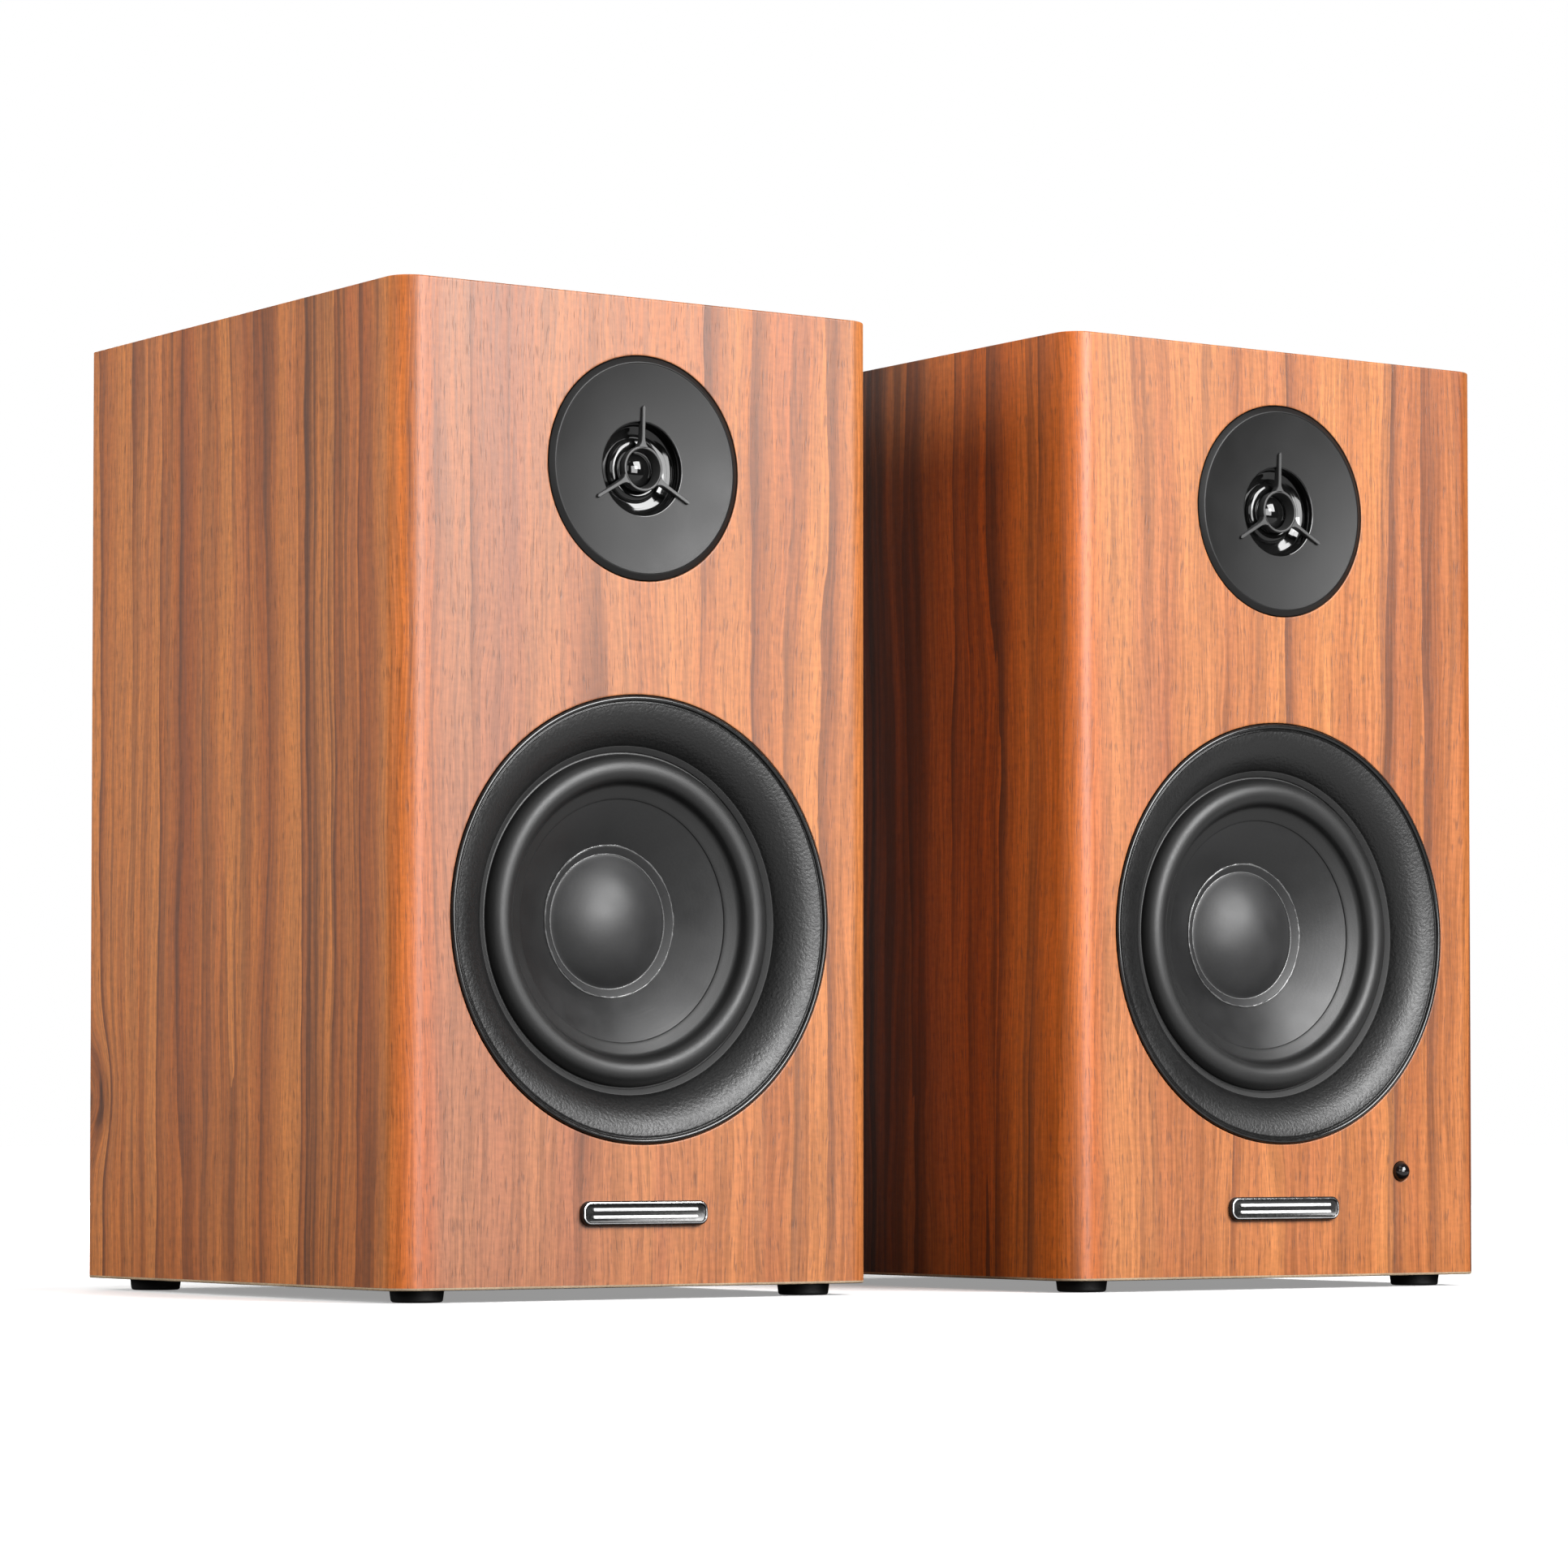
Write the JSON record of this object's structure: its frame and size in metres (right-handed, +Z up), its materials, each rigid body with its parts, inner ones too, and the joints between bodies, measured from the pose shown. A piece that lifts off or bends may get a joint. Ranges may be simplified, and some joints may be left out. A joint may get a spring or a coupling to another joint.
{
  "type": "desktop speaker pair",
  "caption": "Bookshelf speaker pair in wood-grain cabinets: woofer with trim ring, guarded tweeter, rear port, amplifier panel with tone knobs, spring terminals",
  "frame": {"origin": "centre of the pair's bounding box at table level", "axes": "+X runs from the left speaker to the right one, +Y from the fronts to the rear, +Z up"},
  "size_m": [0.4314, 0.2418, 0.326],
  "materials": {
    "badge_plate": "satin",
    "basket_steel": "satin",
    "black_board": "matte",
    "black_screws": "satin",
    "cap_paper": "satin",
    "circuit_board": "satin",
    "coil_former": "satin",
    "cone_paper": "satin",
    "ferrite": "matte",
    "foot_rubber": "matte",
    "inlet_plastic": "satin",
    "jack_metal": "polished",
    "knob_plastic": "satin",
    "lever_black": "gloss",
    "lever_red": "gloss",
    "motor_steel": "satin",
    "panel_paint": "satin",
    "port_plastic": "satin",
    "rocker_plastic": "gloss",
    "sensor_plastic": "gloss",
    "spider_cloth": "matte",
    "surround_rubber": "satin",
    "terminal_plastic": "satin",
    "transformer_steel": "satin",
    "trim_plastic": "satin",
    "tweeter_film": "gloss",
    "walnut_vinyl": "satin",
    "waveguide_plastic": "satin"
  },
  "bodies": {
    "right_speaker": {"right_amp_board": "circuit_board", "right_amp_panel": "panel_paint", "right_back_panel": "black_board", "right_badge": "badge_plate", "right_bottom_panel": "walnut_vinyl", "right_cabinet_wrap": "walnut_vinyl", "right_feet": "foot_rubber", "right_mains_inlet": "inlet_plastic", "right_panel_screws": "black_screws", "right_port_tube": "port_plastic", "right_rca_jacks": "jack_metal", "right_sensor_lens": "sensor_plastic", "right_top_panel": "walnut_vinyl", "right_transformer": "transformer_steel", "right_tweeter_magnet": "ferrite", "right_tweeter_waveguide": "waveguide_plastic", "right_woofer_basket": "basket_steel", "right_woofer_magnet": "ferrite", "right_woofer_screws": "black_screws", "right_woofer_spider": "spider_cloth", "right_woofer_surround": "surround_rubber", "right_woofer_top_plate": "motor_steel", "right_woofer_trim_ring": "trim_plastic", "right_woofer_yoke": "motor_steel"},
    "left_speaker": {"left_back_panel": "black_board", "left_badge": "badge_plate", "left_bottom_panel": "walnut_vinyl", "left_cabinet_wrap": "walnut_vinyl", "left_crossover_board": "circuit_board", "left_feet": "foot_rubber", "left_port_tube": "port_plastic", "left_terminal_cup": "terminal_plastic", "left_terminal_screws": "black_screws", "left_top_panel": "walnut_vinyl", "left_tweeter_magnet": "ferrite", "left_tweeter_waveguide": "waveguide_plastic", "left_woofer_basket": "basket_steel", "left_woofer_magnet": "ferrite", "left_woofer_screws": "black_screws", "left_woofer_spider": "spider_cloth", "left_woofer_surround": "surround_rubber", "left_woofer_top_plate": "motor_steel", "left_woofer_trim_ring": "trim_plastic", "left_woofer_yoke": "motor_steel"},
    "left_woofer_mover": {"left_woofer_cone": "cone_paper", "left_dust_cap": "cap_paper", "left_voice_coil": "coil_former"},
    "right_woofer_mover": {"right_woofer_cone": "cone_paper", "right_dust_cap": "cap_paper", "right_voice_coil": "coil_former"},
    "left_tweeter_mover": {"left_tweeter_diaphragm": "tweeter_film"},
    "right_tweeter_mover": {"right_tweeter_diaphragm": "tweeter_film"},
    "volume": {"right_volume_knob": "knob_plastic"},
    "bass": {"right_bass_knob": "knob_plastic"},
    "treble": {"right_treble_knob": "knob_plastic"},
    "power": {"right_power_rocker": "rocker_plastic"},
    "left_red_lever": {"left_terminal_lever_red": "lever_red"},
    "left_black_lever": {"left_terminal_lever_black": "lever_black"},
    "right_red_lever": {"right_terminal_lever_red": "lever_red"},
    "right_black_lever": {"right_terminal_lever_black": "lever_black"}
  },
  "joints": [
    {"name": "left_speaker_slide", "type": "slide", "parent": "right_speaker", "child": "left_speaker", "axis": [1, 0, 0], "range_m": [-0.3, 0.04]},
    {"name": "left_woofer_travel", "type": "slide", "parent": "left_speaker", "child": "left_woofer_mover", "axis": [0, 1, 0], "range_m": [-0.004, 0.004], "stiffness_N_per_m": 1400, "deforming": ["left_woofer_surround", "left_woofer_spider"]},
    {"name": "left_tweeter_travel", "type": "slide", "parent": "left_speaker", "child": "left_tweeter_mover", "axis": [0, 1, 0], "range_m": [-0.0003, 0.0003], "stiffness_N_per_m": 2000},
    {"name": "right_woofer_travel", "type": "slide", "parent": "right_speaker", "child": "right_woofer_mover", "axis": [0, 1, 0], "range_m": [-0.004, 0.004], "stiffness_N_per_m": 1400, "deforming": ["right_woofer_surround", "right_woofer_spider"]},
    {"name": "right_tweeter_travel", "type": "slide", "parent": "right_speaker", "child": "right_tweeter_mover", "axis": [0, 1, 0], "range_m": [-0.0003, 0.0003], "stiffness_N_per_m": 2000},
    {"name": "volume_turn", "type": "hinge", "parent": "right_speaker", "child": "volume", "pos_m": [0.15975, 0.0941, 0.182], "axis": [0, 1, 0], "range_deg": [-150, 150]},
    {"name": "bass_turn", "type": "hinge", "parent": "right_speaker", "child": "bass", "pos_m": [0.12375, 0.0941, 0.182], "axis": [0, 1, 0], "range_deg": [-150, 150]},
    {"name": "treble_turn", "type": "hinge", "parent": "right_speaker", "child": "treble", "pos_m": [0.08775, 0.0941, 0.182], "axis": [0, 1, 0], "range_deg": [-150, 150]},
    {"name": "power_rock", "type": "hinge", "parent": "right_speaker", "child": "power", "pos_m": [0.15175, 0.0871, 0.056], "axis": [1, 0, 0], "range_deg": [0, 18]},
    {"name": "left_red_lever_press", "type": "hinge", "parent": "left_speaker", "child": "left_red_lever", "pos_m": [-0.117, 0.1091, 0.101], "axis": [1, 0, 0], "range_deg": [0, 22], "stiffness_Nm_per_rad": 0.05, "springref_deg": -11.46},
    {"name": "left_black_lever_press", "type": "hinge", "parent": "left_speaker", "child": "left_black_lever", "pos_m": [-0.1305, 0.1091, 0.101], "axis": [1, 0, 0], "range_deg": [0, 22], "stiffness_Nm_per_rad": 0.05, "springref_deg": -11.46},
    {"name": "right_red_lever_press", "type": "hinge", "parent": "right_speaker", "child": "right_red_lever", "pos_m": [0.1025, 0.0831, 0.121], "axis": [1, 0, 0], "range_deg": [0, 22], "stiffness_Nm_per_rad": 0.05, "springref_deg": -11.46},
    {"name": "right_black_lever_press", "type": "hinge", "parent": "right_speaker", "child": "right_black_lever", "pos_m": [0.089, 0.0831, 0.121], "axis": [1, 0, 0], "range_deg": [0, 22], "stiffness_Nm_per_rad": 0.05, "springref_deg": -11.46}
  ]
}
